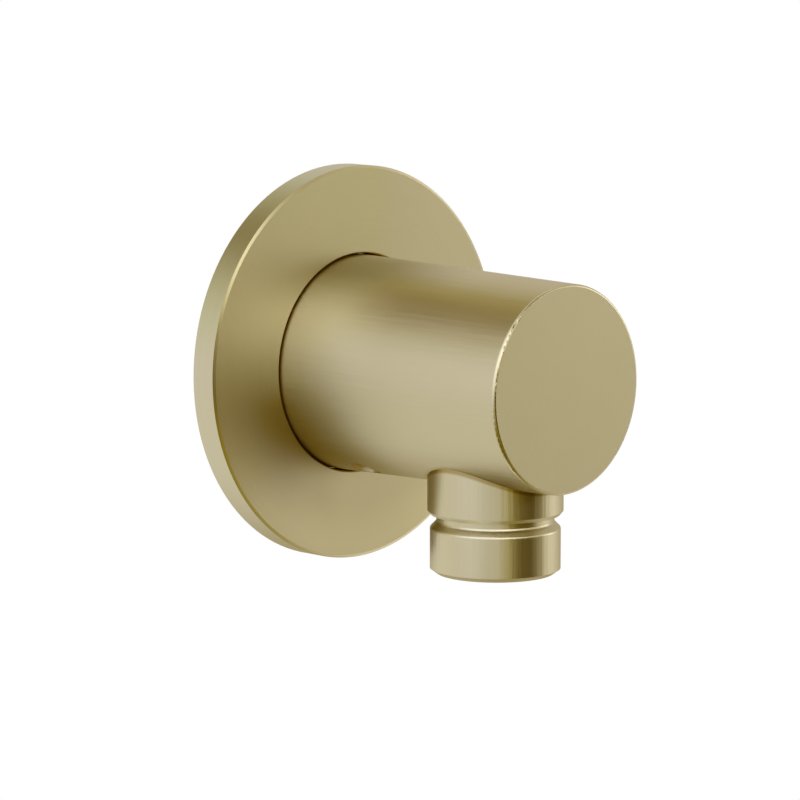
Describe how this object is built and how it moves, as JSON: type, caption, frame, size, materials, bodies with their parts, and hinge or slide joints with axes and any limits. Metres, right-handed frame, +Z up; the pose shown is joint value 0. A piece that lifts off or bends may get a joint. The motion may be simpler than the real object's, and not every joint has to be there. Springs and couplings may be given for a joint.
{
  "type": "wall outlet elbow",
  "caption": "Round wall outlet elbow for a hand shower: tapered barrel on a sliding cover plate, with a short downward hose outlet and an inner non-return valve.",
  "frame": {"origin": "on the barrel axis in the plane of the wall, at the start of the wall nipple's thread", "axes": "+Y into the wall along the wall nipple, so the barrel stands out along -Y; +Z up, the hose outlet points down along -Z"},
  "size_m": [0.065, 0.0682, 0.065],
  "materials": {
    "brushed_gold": "finely brushed champagne gold, satin",
    "raw_brass": "plain machined brass",
    "screw_steel": "stainless steel, machined",
    "spring_steel": "drawn stainless wire",
    "black_rubber": "moulded rubber",
    "gasket_foam": "soft foam rubber",
    "valve_plastic": "moulded acetal, natural white",
    "poppet_plastic": "moulded acetal, blue"
  },
  "bodies": {
    "elbow": {"elbow_body": "brushed_gold", "outlet_nipple": "brushed_gold", "outlet_o_ring": "black_rubber", "wall_nipple": "raw_brass", "nipple_o_ring_front": "black_rubber", "nipple_o_ring_rear": "black_rubber", "grub_screw": "screw_steel", "check_valve_housing": "valve_plastic", "check_valve_guide": "valve_plastic", "check_valve_spring": "spring_steel", "check_valve_o_ring": "black_rubber"},
    "rose": {"wall_rose": "brushed_gold", "rose_o_ring": "black_rubber", "rose_gasket": "gasket_foam"},
    "poppet": {"check_valve_poppet": "poppet_plastic", "check_valve_seal": "black_rubber"}
  },
  "joints": [
    {"name": "rose_slide", "type": "slide", "parent": "elbow", "child": "rose", "axis": [0, -1, 0], "range_m": [0, 0.0195]},
    {"name": "valve_slide", "type": "slide", "parent": "elbow", "child": "poppet", "axis": [0, 0, -1], "range_m": [0, 0.0025], "stiffness_N_per_m": 200, "springref_m": -0.002, "deforming": ["check_valve_spring"]}
  ]
}
